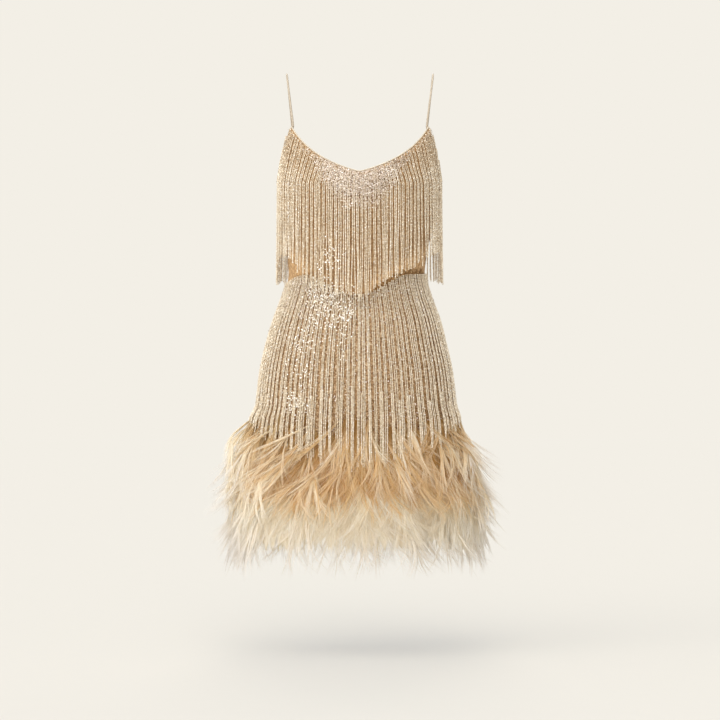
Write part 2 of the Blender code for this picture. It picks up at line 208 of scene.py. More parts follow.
# Feathers: how many locks, fingers in a lock and barbs in a finger, the heights where they leave the
# tape, how long, wide, swept and curled they are, how far their tips kick out, the lowest height they
# reach, and between which shares of the tier's depth they stand
Plume = namedtuple(
    "Plume", "locks fingers barbs root_low root_high length fat barb sweep curl kick lowest stand"
)
# The under plumes wear the darker golden feathers beneath the cream ones: the trim's tan, with painted shade
# between the locks
UNDER_PLUME = Plume(100, 5, 12, -0.680, -0.604, 0.156, 0.005, 0.0011, 0.70, 0.35, 0.004, -0.806, (0.05, 0.45))
UPPER_PLUME = Plume(132, 4, 8, -0.712, -0.612, 0.136, 0.0021, 0.0012, 0.70, 0.85, 0.018, -0.824, (0.34, 0.80))
LOWER_PLUME = Plume(120, 5, 16, -0.730, -0.690, 0.178, 0.0046, 0.001, 0.35, 0.35, 0.010, -0.872, (0.05, 0.70))
SIDE_WISPS = Plume(50, 3, 6, -0.790, -0.630, 0.110, 0.0018, 0.0014, 0.90, 0.90, 0.056, -0.890, (0.35, 0.80))
HEM_WISPS = Plume(60, 3, 6, -0.790, -0.745, 0.200, 0.0016, 0.0013, 0.40, 1.00, 0.016, -0.911, (0.10, 0.80))
SIDE_WISP_SPAN = 50.0
PLUME_ROWS = 6
BARB_TAPER = (0.8, 1.0, 1.0, 0.85, 0.6)
BARB_STRAY = 0.035
LOOSE_STRAY = 0.20
LOOSE_SHARE = 0.25
MOST_TURN = 1.3
HIP_RADIUS = 0.16

# Painted shade: feathers are darker towards this angle, by this much, and lighter at the sides, where their
# tips catch the light
SHADIEST_ANGLE = 18.0
CENTRE_SHADE_DEPTH = 0.42

# Down under each tier: the share of the tier's depth that it lies at, its two ends, and how ragged they are
Down = namedtuple("Down", "share top bottom ragged")
UPPER_DOWN = Down(0.30, -0.650, -0.756, 0.020)
LOWER_DOWN = Down(0.45, -0.700, -0.836, 0.020)
DOWN_COLUMNS = 200
DOWN_ROWS = 14
DOWN_THICK = 0.0006
DOWN_RIDGE = 0.0035

# Colour of the darker streaks along a feather's barbs
BARB_STREAK = (0.88, 0.85, 0.80, 1.0)

# Studio: the floor's colour, glow and size, and where it fades into the background
FLOOR_PAPER = (0.400, 0.358, 0.292, 1.0)
FLOOR_GLOW = (0.258, 0.294, 0.331, 1.0)
FLOOR_REACH = 60.0
FLOOR_FADE = (3.0, 7.0)

# Top lights lean to the front and the back by these slopes, so that the shadow spreads in depth
TOP_LIGHT = 0.39
TOP_LIGHT_LEANS = (-1.6, -1.1, -0.55, 0.0, 0.55, 1.1, 1.6)

RANDOM_SEED = 7


# The dress's form

def slope(i, column):
    """Slope of one column of the sections at row i, from its neighbours."""
    above = SECTIONS[max(i - 1, 0)]
    below = SECTIONS[min(i + 1, len(SECTIONS) - 1)]
    return (getattr(below, column) - getattr(above, column)) / (below.z - above.z)


def section_value(column, z):
    """One column at any height, on a smooth curve through the table's rows."""
    i = 0
    while i < len(SECTIONS) - 2 and SECTIONS[i + 1].z > z:
        i += 1
    above, below = SECTIONS[i], SECTIONS[i + 1]
    step = below.z - above.z
    t = min(max((z - above.z) / step, 0.0), 1.0)
    return (
        getattr(above, column) * (2 * t**3 - 3 * t**2 + 1)
        + slope(i, column) * step * (t**3 - 2 * t**2 + t)
        + getattr(below, column) * (3 * t**2 - 2 * t**3)
        + slope(i + 1, column) * step * (t**3 - t**2)
    )


LEVELS = np.linspace(SECTIONS[-1].z, SECTIONS[0].z, 721)
PROFILE = np.array([[section_value(column, z) for z in LEVELS] for column in Section._fields[1:]])


def surface(angle, z):
    """Points of the cloth's inner face."""
    angle, z = np.broadcast_arrays(np.asarray(angle, float), np.asarray(z, float))
    centre, width, front, back = (np.interp(z, LEVELS, values) for values in PROFILE)
    sine = np.sin(np.radians(angle))
    cosine = np.cos(np.radians(angle))
    depth = np.where(cosine > 0, front, back)
    x = centre + width * sine * (1 + FULLNESS * cosine**2)
    y = -depth * cosine * (1 + FULLNESS * sine**2)
    return np.stack([x, y, z], axis=-1)


def unit(v):
    return v / np.linalg.norm(v, axis=-1, keepdims=True)


def frames(angle, z):
    """(points, directions of growing angle, outward normals) on the cloth's inner face."""
    angle, z = np.broadcast_arrays(np.asarray(angle, float), np.asarray(z, float))
    across = unit(surface(angle + 0.5, z) - surface(angle - 0.5, z))
    up = unit(surface(angle, z + 0.002) - surface(angle, z - 0.002))
    return surface(angle, z), across, unit(np.cross(across, up))


def level_frames(angle, z):
    """(points, directions of growing angle, level directions out) on the cloth's inner face."""
    point, across, _ = frames(angle, z)
    return point, across, unit(np.cross(across, np.array([0.0, 0.0, 1.0])))


def skin(angle, z, out):
    """Points moved out from the cloth's inner face, square to it."""
    point, _, outward = frames(angle, z)
    return point + outward * np.asarray(out)[..., None]


def signed(angle):
    """The same angle from -180 to 180."""
    return (np.asarray(angle, float) + 180.0) % 360.0 - 180.0


def ease(t):
    """Smooth step from 0 to 1."""
    t = np.clip(t, 0.0, 1.0)
    return t * t * (3 - 2 * t)


def side_share(angle):
    """0 at the centre front and back, 1 at the side seams."""
    return np.sin(np.radians(angle)) ** 2


def top_z(angle):
    """Height of the bodice's top edge: V neck, armhole and back neckline."""
    a = np.abs(signed(angle))
    share = np.sin(np.radians(np.minimum(a, STRAP_ANGLE))) / math.sin(math.radians(STRAP_ANGLE))
    straight = np.hypot(share, NECK_ROUNDING) - NECK_ROUNDING
    rise = NECK_STRAIGHT * straight + NECK_CURVE * share**NECK_CURVE_POWER
    neck = NECK_Z + (STRAP_FOOT_Z - NECK_Z) * rise
    down = np.clip((a - STRAP_ANGLE) / (90.0 - STRAP_ANGLE), 0, 1)
    armhole = STRAP_FOOT_Z + (UNDERARM_Z - STRAP_FOOT_Z) * np.sin(math.pi / 2 * down)
    up = ease((a - 90.0) / (BACK_STRAP_ANGLE - 90.0))
    behind = UNDERARM_Z + (BACK_STRAP_Z - UNDERARM_Z) * up
    across = ease((a - BACK_STRAP_ANGLE) / (180.0 - BACK_STRAP_ANGLE))
    back = BACK_STRAP_Z + (BACK_NECK_Z - BACK_STRAP_Z) * across
    return np.select([a <= STRAP_ANGLE, a <= 90.0, a <= BACK_STRAP_ANGLE], [neck, armhole, behind], back)


def waist_z(angle):
    """Height of the waist seam, which dips to a point at the centre front and again at the -X side."""
    at_side = WAIST_SIDE_DIP * (1 - ease(np.abs(signed(np.asarray(angle) + 90.0)) / WAIST_SIDE_SPAN))
    at_point = WAIST_POINT_DIP * (1 - ease(np.abs(signed(angle)) / WAIST_POINT_SPAN))
    return WAIST_Z - at_side - at_point


def hanging_end_z(angle):
    """Where a bodice strand ends: strands of one length on the neckline, shorter ones under the arm."""
    beside = np.abs(signed(angle))
    under_arm = ease((beside - STRAP_ANGLE) / (90.0 - STRAP_ANGLE))
    long_left = np.where(signed(angle) < 0, ease((LONG_LEFT_WITHIN - beside) / 10.0), 0.0)
    shorter = SHORTER_BESIDE * (1 - long_left) * ease((STRAP_ANGLE - beside) / 26.0) - LONGER_LEFT * long_left
    shorter = shorter * ease(beside / 18.0)
    return top_z(angle) - BODICE_DROP + (BODICE_DROP - ARMHOLE_DROP) * under_arm + shorter


def skirt_end_z(angle):
    return SKIRT_FRONT_END_Z + (SKIRT_SIDE_END_Z - SKIRT_FRONT_END_Z) * side_share(angle)


def tier_out(tier, angle, z):
    """How far the middle of a feather tier stands out from the cloth."""
    heights, *columns = np.array(tier)[::-1].T
    left, right, centre = (np.interp(z, heights, column) for column in columns)
    at_side = np.where(signed(angle) < 0, left, right)
    return centre + (at_side - centre) * side_share(angle)


def length_along(points):
    """The distance along a line of points, from its start to each of them."""
    steps = np.linalg.norm(np.diff(points, axis=0), axis=1)
    return np.concatenate([[0.0], np.cumsum(steps)])


def even_angles(z, start, stop, count):
    """The middle angles of count even steps along the ring at height z."""
    fine = np.linspace(start, stop, 400)
    run = length_along(surface(fine, z))
    goals = (np.arange(count) + 0.5) / count * run[-1]
    return np.interp(goals, run, fine)


def smooth_line(points, count):
    """count points on a smooth curve through the given ones."""
    points = np.asarray(points, float)
    spans = len(points) - 1
    at = np.linspace(0, spans, count)
    i = np.minimum(at.astype(int), spans - 1)
    t = (at - i)[:, None]
    before = points[np.maximum(i - 1, 0)]
    start = points[i]
    end = points[i + 1]
    after = points[np.minimum(i + 2, spans)]
    bend = before * 2 - start * 5 + end * 4 - after
    twist = start * 3 - before - end * 3 + after
    return (start * 2 + (end - before) * t + bend * t**2 + twist * t**3) / 2


# Materials

def srgb(red, green, blue):
    """A colour as it shows on a screen, from 0 to 255, made linear."""
    out = []
    for value in (red, green, blue):
        v = value / 255
        out.append(v / 12.92 if v <= 0.04045 else ((v + 0.055) / 1.055) ** 2.4)
    return (*out, 1.0)


BACKGROUND = srgb(243, 239, 230)
WHITE = (1.0, 1.0, 1.0, 1.0)


def tones(*stops):
    """Stops of a colour ramp, each given as (position, red, green, blue)."""
    return [(position, srgb(*colour)) for position, *colour in stops]


def new_material(name):
    material = bpy.data.materials.new(name)
    material.use_nodes = True
    tree = material.node_tree
    return material, tree, tree.nodes["Principled BSDF"]


def node(tree, kind, **settings):
    made = tree.nodes.new(kind)
    for key, value in settings.items():
        setattr(made, key, value)
    return made


def set_inputs(made, values):
    for key, value in values.items():
        made.inputs[key].default_value = value


def ramp(tree, source, stops):
    """A colour ramp fed by a socket. stops holds (position, colour)."""
    made = tree.nodes.new("ShaderNodeValToRGB")
    elements = made.color_ramp.elements
    while len(elements) < len(stops):
        elements.new(0.5)
    for element, (position, colour) in zip(elements, stops):
        element.position = position
        element.color = colour
    tree.links.new(source, made.inputs["Fac"])
    return made.outputs["Color"]


def attribute(tree, name):
    return node(tree, "ShaderNodeAttribute", attribute_name=name).outputs["Fac"]


def object_place(tree, stretch=(1.0, 1.0, 1.0)):
    place = node(tree, "ShaderNodeTexCoord")
    mapping = node(tree, "ShaderNodeMapping")
    set_inputs(mapping, {"Scale": stretch})
    tree.links.new(place.outputs["Object"], mapping.inputs["Vector"])
    return mapping.outputs["Vector"]


def noise(tree, scale, detail=3.0, stretch=(1.0, 1.0, 1.0)):
    """Noise in the object's own metres."""
    made = node(tree, "ShaderNodeTexNoise")
    set_inputs(made, {"Scale": scale, "Detail": detail})
    tree.links.new(object_place(tree, stretch), made.inputs["Vector"])
    return made.outputs["Fac"]


def feed(tree, value, socket):
    """Links a socket to another, or sets it to a number or colour."""
    if isinstance(value, bpy.types.NodeSocket):
        tree.links.new(value, socket)
    else:
        socket.default_value = value


def blend(tree, share, first, second, mode="MIX"):
    """Mix of two colours, each a socket or a value."""
    made = node(tree, "ShaderNodeMix", data_type="RGBA", blend_type=mode)
    sockets = [s for s in made.inputs if s.name in ("A", "B") and s.type == "RGBA"]
    for socket, value in ((made.inputs[0], share), (sockets[0], first), (sockets[1], second)):
        feed(tree, value, socket)
    return next(s for s in made.outputs if s.type == "RGBA")


def mix_shaders(tree, share, first, second):
    """Mix of two shaders by a share that is a socket or a number."""
    made = node(tree, "ShaderNodeMixShader")
    feed(tree, share, made.inputs["Fac"])
    tree.links.new(first, made.inputs[1])
    tree.links.new(second, made.inputs[2])
    return made.outputs["Shader"]


def bump(tree, shader, height, strength, distance):
    made = node(tree, "ShaderNodeBump")
    set_inputs(made, {"Strength": strength, "Distance": distance})
    tree.links.new(height, made.inputs["Height"])
    tree.links.new(made.outputs["Normal"], shader.inputs["Normal"])


def net_material():
    """Fine tan net, mottled where its ground shows through, with painted shade darkening it under the fringe,
    less so above the bust.
    """
    material, tree, shader = new_material("tan net")
    mottle = ramp(tree, noise(tree, 240.0, 4.0), tones((0.40, 150, 110, 68), (0.60, 212, 174, 126)))
    broad = ramp(tree, noise(tree, 22.0), tones((0.3, 178, 140, 96), (0.7, 202, 164, 118)))
    plain = blend(tree, 0.35, mottle, broad)
    # Painted shade: the net is darkened where the fringe hangs over it
    painted_fringe_shade = ramp(tree, attribute(tree, "painted_fringe_shade"), [(0.0, WHITE), (1.0, srgb(218, 216, 212))])
    tree.links.new(blend(tree, 1.0, plain, painted_fringe_shade, "MULTIPLY"), shader.inputs["Base Color"])
    set_inputs(shader, {"Roughness": 0.7})
    bump(tree, shader, noise(tree, 900.0, 2.0), 0.5, 0.0006)
    return material


def beadwork_material():
    """Net closely sewn with small beads, seen between the strands."""
    material, tree, shader = new_material("beaded net")
    cells = node(tree, "ShaderNodeTexVoronoi", feature="F1")
    set_inputs(cells, {"Scale": 430.0})
    tree.links.new(object_place(tree), cells.inputs["Vector"])
    stops = tones((0.12, 112, 80, 48), (0.42, 150, 116, 78), (0.75, 180, 150, 112), (0.95, 222, 202, 172))
    colours = ramp(tree, cells.outputs["Color"], stops)
    tree.links.new(colours, shader.inputs["Base Color"])
    set_inputs(shader, {"Roughness": 0.4, "Metallic": 0.4})
    bump(tree, shader, cells.outputs["Distance"], 0.9, -0.0012)
    return material


def satin_material(name, dark, light):
    """Champagne satin with its fine weave."""
    material, tree, shader = new_material(name)
    threads = noise(tree, 520.0, 2.0, (1.0, 1.0, 0.25))
    tone = ramp(tree, threads, [(0.3, dark), (0.7, light)])
    tree.links.new(tone, shader.inputs["Base Color"])
    set_inputs(shader, {"Roughness": 0.4, "Sheen Weight": 0.1})
    bump(tree, shader, noise(tree, 1400.0, 2.0), 0.25, 0.0003)
    return material


def glass_material(name, stops, metallic, roughness):
    """Shiny beads or sequins, each in its own tone."""
    material, tree, shader = new_material(name)
    tree.links.new(ramp(tree, attribute(tree, "tone"), stops), shader.inputs["Base Color"])
    set_inputs(shader, {"Metallic": metallic, "Roughness": roughness})
    return material


def feather_material(name, *colours):
    """Soft barbs that let light through. colours: root, middle, tip, and the shade of the deepest locks; the
    darker root and that shade are painted shade.
    """
    root, middle, tip, shade = (srgb(*colour) for colour in colours)
    material, tree, shader = new_material(name)
    along = ramp(tree, attribute(tree, "along"), [(0.0, root), (0.4, middle), (1.0, tip)])
    # Painted shade: a low tone darkens the barbs towards the shade colour
    tone = ramp(tree, attribute(tree, "tone"), [(0.05, shade), (0.6, WHITE)])
    streaks = ramp(tree, noise(tree, 700.0, 2.0, (1.0, 1.0, 0.2)), [(0.3, BARB_STREAK), (0.65, WHITE)])
    colour = blend(tree, 1.0, blend(tree, 1.0, along, tone, "MULTIPLY"), streaks, "MULTIPLY")
    tree.links.new(colour, shader.inputs["Base Color"])
    set_inputs(shader, {"Roughness": 0.75, "Specular IOR Level": 0.2})
    through = node(tree, "ShaderNodeBsdfTranslucent")
    tree.links.new(colour, through.inputs["Color"])
    mixed = mix_shaders(tree, 0.55, shader.outputs["BSDF"], through.outputs["BSDF"])
    tree.links.new(mixed, tree.nodes["Material Output"].inputs["Surface"])
    return material


def make_materials():
    champagne = tones((0.0, 186, 164, 134), (0.35, 220, 204, 178), (0.7, 240, 230, 210), (1.0, 255, 252, 246))
    silver = tones((0.0, 152, 128, 108), (0.4, 192, 172, 152), (0.75, 220, 204, 190), (1.0, 248, 240, 232))
    bright = tones((0.0, 236, 222, 198), (1.0, 255, 254, 250))
    gold = tones((0.0, 132, 94, 52), (0.6, 182, 142, 92), (1.0, 236, 208, 162))
    return {
        "net": net_material(),
        "beadwork": beadwork_material(),
        "satin": satin_material("satin trim", srgb(182, 166, 142), srgb(206, 192, 170)),
        "strap": satin_material("strap satin", srgb(164, 149, 128), srgb(190, 176, 156)),
        "beads": glass_material("champagne beads", champagne, 0.3, 0.42),
        "seeds": glass_material("silver seed beads", silver, 0.6, 0.28),
        "paillettes": glass_material("paillettes with painted glint", bright, 0.55, 0.28),
        "golden": feather_material(
            "golden feathers", (209, 182, 132), (232, 213, 176), (245, 234, 212), (222, 190, 138)
        ),
        "upper": feather_material(
            "cream plumes", (234, 218, 185), (248, 241, 224), (252, 248, 239), (236, 214, 176)
        ),
        "lower": feather_material(
            "pale feathers", (241, 228, 200), (248, 244, 233), (245, 244, 241), (242, 233, 215)
        ),
        "wisps": feather_material(
            "grey wisps", (252, 245, 229), (249, 245, 237), (232, 228, 225), (246, 242, 235)
        ),
        "gold": glass_material("gold edge beads", gold, 0.5, 0.35),
    }


# Meshes

def add_object(name, data):
    made = bpy.data.objects.new(name, data)
    bpy.context.scene.collection.objects.link(made)
    return made


def add_piece(name, points, faces, material, nodes, attributes=None, smooth=True):
    """A piece that rides on the dress and stands for the given CAD nodes.

    faces holds arrays of corner numbers, each array with as many corners in every row.
    """
    points = np.ascontiguousarray(points, np.float32).reshape(-1, 3)
    blocks = [np.asarray(block, np.int32) for block in faces]
    corners = np.concatenate([block.reshape(-1) for block in blocks])
    sizes = np.concatenate([np.full(len(block), block.shape[1], np.int32) for block in blocks])
    starts = np.concatenate([[0], np.cumsum(sizes)[:-1]]).astype(np.int32)
    mesh = bpy.data.meshes.new(name)
    mesh.vertices.add(len(points))
    mesh.vertices.foreach_set("co", points.reshape(-1))
    mesh.loops.add(len(corners))
    mesh.loops.foreach_set("vertex_index", corners)
    mesh.polygons.add(len(sizes))
    mesh.polygons.foreach_set("loop_start", starts)
    mesh.update(calc_edges=True)
    mesh.polygons.foreach_set("use_smooth", np.full(len(sizes), smooth))
    for key, values in (attributes or {}).items():
        layer = mesh.attributes.new(key, "FLOAT", "POINT")
        layer.data.foreach_set("value", np.ascontiguousarray(values, np.float32).reshape(-1))
    mesh.materials.append(material)
    made = add_object(name, mesh)
    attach(made, "root")
    if nodes:
        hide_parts(*nodes)
    return made


def turn_outward(made):
    """Makes a closed mesh's faces all point outwards."""
    work = bmesh.new()
    work.from_mesh(made.data)
    bmesh.ops.recalc_face_normals(work, faces=work.faces)
    work.to_mesh(made.data)
    work.free()


def grid(rows, columns):
    """Quads between the points of a grid, row after row."""
    first = (np.arange(rows - 1)[:, None] * columns + np.arange(columns - 1)).reshape(-1)
    return np.stack([first, first + 1, first + columns + 1, first + columns], axis=1)


def shell(name, inner, outer, material, nodes, attributes):
    """A thin closed shell between two grids of points."""
    count, width = inner.shape[:2]
    shift = count * width
    quads = grid(count, width)
    number = np.arange(shift).reshape(count, width)
    rim = np.concatenate([number[0], number[1:, -1], number[-1, -2::-1], number[-2:0:-1, 0]])
    after = np.roll(rim, -1)
    border = np.stack([rim, after, after + shift, rim + shift], axis=1)
    faces = [np.concatenate([quads, quads + shift, border])]
    points = np.concatenate([inner.reshape(-1, 3), outer.reshape(-1, 3)])
    made = add_piece(name, points, faces, material, nodes, attributes)
    turn_outward(made)
    return made


def cloth(name, angles, rows, material, nodes, attributes=None):
    """A panel of cloth on the body. rows holds the heights, top to bottom, at every angle."""
    inner = surface(angles[None, :], rows)
    outer = skin(angles[None, :], rows, np.full(rows.shape, CLOTH))
    return shell(name, inner, outer, material, nodes, attributes)


def circles(first, second, turn):
    """Points at the given turns on circles of radius 1, each spanned by its two directions."""
    return first[:, None] * np.cos(turn)[..., None] + second[:, None] * np.sin(turn)[..., None]


def tube(node_name, path, radius, sides, material):
    """A round tube along a path, closed at both ends, that stands for the named trim."""
    path = np.asarray(path, float)
    forward = unit(np.gradient(path, axis=0))
    aside = unit(np.cross(forward, np.array([0.31, 0.2, 0.93])))
    other = np.cross(forward, aside)
    turn = np.arange(sides) / sides * 2 * math.pi
    points = path[:, None] + circles(aside, other, turn) * radius
    number = np.arange(len(path) * sides).reshape(len(path), sides)
    after = np.roll(number, -1, axis=1)
    quads = np.stack([number[:-1], after[:-1], after[1:], number[1:]], axis=-1).reshape(-1, 4)
    faces = [quads, number[:1], number[-1:]]
    turn_outward(add_piece(node_name + "_rolled", points, faces, material, [node_name]))


def beads_along(path):
    """Places every pitch along a path, with the path's direction at each."""
    run = length_along(path)
    at = np.arange(BEAD_PITCH / 2, run[-1], BEAD_PITCH)
    places = np.stack([np.interp(at, run, path[:, i]) for i in range(3)], axis=-1)
    return places, unit(np.gradient(places, axis=0))


def bead_strings(name, paths, material, nodes, chance):
    """Strings of faceted beads along the paths, as one mesh."""
    strings = [beads_along(path) for path in paths]
    centres = np.concatenate([places for places, _ in strings])
    forward = np.concatenate([direction for _, direction in strings])
    tone = [chance.normal(chance.normal(0.48, 0.07), 0.16, len(places)) for places, _ in strings]
    on_shoulder = ease((centres[:, 2] - SHOULDER_Z) / 0.05)
    tone = np.clip(np.concatenate(tone) - DEEPER_ON_SHOULDER * on_shoulder, 0, 1)
    count = len(centres)
    aside = unit(np.cross(forward, np.array([0.9, 0.43, 0.0])))
    other = np.cross(forward, aside)
    turn = np.arange(BEAD_SIDES) / BEAD_SIDES * 2 * math.pi + chance.uniform(0, math.pi, (count, 1))
    to_left = ease(0.5 - centres[:, 0] / 0.16)[:, None, None]
    size = STRAND_RADIUS * (1 + LEFT_FULLER * to_left) * chance.uniform(0.88, 1.1, (count, 1, 1))
    ring = circles(aside, other, turn) * size
    reach = forward * BEAD_PITCH * 0.66
    ends = ((centres - reach)[:, None], (centres + reach)[:, None])
    points = np.concatenate([ends[0], centres[:, None] + ring, ends[1]], axis=1)
    corners = BEAD_SIDES + 2
    around = np.arange(BEAD_SIDES)
    after = (around + 1) % BEAD_SIDES
    start = np.stack([np.zeros(BEAD_SIDES, int), 1 + after, 1 + around], axis=1)
    end = np.stack([np.full(BEAD_SIDES, corners - 1), 1 + around, 1 + after], axis=1)
    one = np.concatenate([start, end])
    faces = (one[None] + (np.arange(count) * corners)[:, None, None]).reshape(-1, 3)
    attributes = {"tone": np.repeat(tone, corners)}
    return add_piece(name, points, [faces], material, nodes, attributes, False)


def sequins(name, angle, z, out, radius, lean, material, chance, middle, spread=0.24):
    """Small cupped six-sided sequins, each with its own slight lean, as one mesh.

    Those on the bodice lie where its strands hang, straight below the bust.
    """
    count = len(angle)
    on_bodice = z > waist_z(angle) + 0.014
    point, across, outward = frames(angle, np.where(on_bodice, np.maximum(z, BUST_Z), z))
    point[:, 2] = z
    up = np.cross(outward, across)
    tilt = chance.normal(0, lean, (count, 2))
    u = unit(across + outward * tilt[:, :1])
    v = unit(up + outward * tilt[:, 1:])
    facing = unit(np.cross(u, v))
    centre = point + outward * out[:, None]
    turn = np.arange(6) / 6 * 2 * math.pi + chance.uniform(0, math.pi, (count, 1))
    size = radius * chance.uniform(0.8, 1.15, (count, 1, 1))
    ring = circles(u, v, turn) * size
    bowl = centre - facing * radius * 0.25
    points = np.concatenate([bowl[:, None], centre[:, None] + ring], axis=1)
    around = np.arange(6)
    one = np.stack([np.zeros(6, int), 1 + around, 1 + (around + 1) % 6], axis=1)
    faces = (one[None] + (np.arange(count) * 7)[:, None, None]).reshape(-1, 3)
    tone = np.repeat(np.clip(chance.normal(middle, spread, count), 0, 1), 7)
    return add_piece(name, points, [faces], material, (), {"tone": tone}, False)


# Pieces

def build_cloth(made):
    """The four cloth panels as thin shells."""
    for side, start in (("front", -90), ("back", 90)):
        angles = np.linspace(start + SEAM_ANGLE, start + 180 - SEAM_ANGLE, PANEL_COLUMNS)
        top = top_z(angles)
        bottom = waist_z(angles) + GAP / 2
        rows = top + (bottom - top) * np.linspace(0, 1, BODICE_ROWS)[:, None]
        # Painted shade under the fringe's strands, lifted part way above the bust
        painted_fringe_shade = ease((rows - hanging_end_z(root_angle(angles))) / 0.02)
        painted_fringe_shade = painted_fringe_shade * (1 - LESS_SHADE_ABOVE_BUST * ease((rows - BUST_Z) / 0.04))
        attributes = {"painted_fringe_shade": np.concatenate([painted_fringe_shade, painted_fringe_shade])}
        name = f"bodice_{side}_net"
        bodice = cloth(name, angles, rows, made["net"], [f"bodice_{side}"], attributes)
        top = waist_z(angles) - GAP / 2
        rows = top + (HEM_Z - top) * np.linspace(0, 1, SKIRT_ROWS)[:, None]
        name = f"skirt_{side}_beaded"
        skirt = cloth(name, angles, rows, made["beadwork"], [f"skirt_{side}"])


def strap_line(side):
    """The strap's centre line, its two tails lying against the inside of the bodice."""
    inside = -(STRAP_INSET + STRAP_RADIUS)
    rises = np.array([-STRAP_TAIL, 0.0, STRAP_TAIL / 2])
    front = skin(side * STRAP_ANGLE, STRAP_FOOT_Z + rises, np.full(3, inside))
    back = skin(side * BACK_STRAP_ANGLE, BACK_STRAP_Z + rises[::-1], np.full(3, inside))
    middle = []
    for y, z in STRAP_LINE:
        foot = front[-1] if y < 0 else back[0]
        share = (z - foot[2]) / (STRAP_RADIUS - foot[2])
        middle.append((foot[0] + (side * STRAP_TOP_X - foot[0]) * share, y, z))
    return smooth_line(np.concatenate([front, middle, back]), STRAP_POINTS)


def build_trim(made):
    """Rolled bindings along the top edges and the two rolled straps."""
    neck = STRAP_ANGLE - CLEAR_OF_STRAP
    arm = (STRAP_ANGLE + CLEAR_OF_STRAP, BACK_STRAP_ANGLE - CLEAR_OF_STRAP)
    behind = BACK_STRAP_ANGLE + CLEAR_OF_STRAP
    edges = (
        ("neck_binding_front", -neck, neck, 120),
        ("neck_binding_back", behind, 360 - behind, 70),
        ("armhole_binding_right", *arm, 60),
        ("armhole_binding_left", -arm[1], -arm[0], 60),
    )
    for name, start, stop, count in edges:
        angles = np.linspace(start, stop, count)
        path = skin(angles, top_z(angles) + GAP + BINDING_RADIUS, np.full(count, CLOTH / 2))
        tube(name, path, BINDING_RADIUS, BINDING_SIDES, made["satin"])
    for name, side in (("strap_right", 1), ("strap_left", -1)):
        tube(name, strap_line(side), STRAP_RADIUS, STRAP_SIDES, made["strap"])


def root_angle(angle):
    """Where on the top edge a strand starts that hangs at the given angle: strands fan out from the neck."""
    beside = np.abs(signed(angle))
    hung = STRAP_ANGLE * STRAND_SPREAD
    in_front = beside / STRAND_SPREAD
    under_arm = STRAP_ANGLE + (beside - hung) * (BACK_STRAP_ANGLE - STRAP_ANGLE) / (BACK_STRAP_ANGLE - hung)
    root = np.where(beside < hung, in_front, np.where(beside < BACK_STRAP_ANGLE, under_arm, beside))
    return np.sign(signed(angle)) * root


def bodice_pair(angle, chance):
    """Two strands that leave the top edge, lie on the bust and hang straight down from its fullest height."""
    root = root_angle(angle)
    root_z = top_z(root) - 0.001
    rest_z = min(BUST_Z, root_z - 0.012)
    share = np.linspace(0, 1, 9)
    laid = root_z + (rest_z - root_z) * share
    point, across, outward = frames(root + signed(signed(angle) - root) * share, laid)
    hang = np.linspace(0, 1, 14)[1:, None]
    flat = unit(outward[-1] * np.array([1.0, 1.0, 0.0]))
    apart = chance.uniform(-0.0008, 0.0008)
    pair = []
    for side in (-1, 1):
        lift = CLOTH + LIFT + STRAND_RADIUS + chance.uniform(0, 0.0012)
        gap = side * (PAIR_GAP + chance.uniform(-0.0002, 0.0004)) + apart
        upper = point + outward * lift + across * gap
        end_z = hanging_end_z(root) + chance.normal(0.001, 0.004)
        lower = np.repeat(upper[-1:], len(hang), axis=0)
        lower[:, 2] = rest_z + (end_z - rest_z) * hang[:, 0]
        sway = chance.normal(0, 0.0014) * hang**1.5
        ripple = 0.0007 * hang * np.sin(hang * chance.uniform(6, 12) + chance.uniform(0, 6))
        lower = lower + across[-1] * (sway + ripple) + flat * np.abs(chance.normal(0, 0.0012)) * hang
        pair.append(np.concatenate([upper, lower]))
    return pair


def skirt_pair(angle, top, end_z, chance, lift=0.0):
    """Two strands that lie on the skirt and end over the feathers."""
    share = np.linspace(0, 1, 30)
    sway = chance.normal(0, 0.5)
    apart = chance.uniform(-0.0008, 0.0008)
    pair = []
    for side in (-1, 1):
        z = top + (end_z + chance.normal(0, 0.006) - top) * share
        wave = 0.12 * np.sin(share * chance.uniform(6, 11) + chance.uniform(0, 6))
        a = angle + sway * share**3 + wave * share
        over = np.where(z < UPPER_TIER[0].z, FEATHER_FOLLOW * tier_out(UPPER_TIER, a, z), 0.0)
        over = over + OVER_FEATHERS * ease((UPPER_TIER[0].z + 0.01 - z) / 0.03)
        point, across, outward = frames(a, z)
        out = CLOTH + LIFT + STRAND_RADIUS + lift + over + chance.uniform(0, 0.0006)
        gap = side * (PAIR_GAP + chance.uniform(-0.0002, 0.0004)) + apart
        pair.append(point + outward * out[:, None] + across * gap)
    return pair


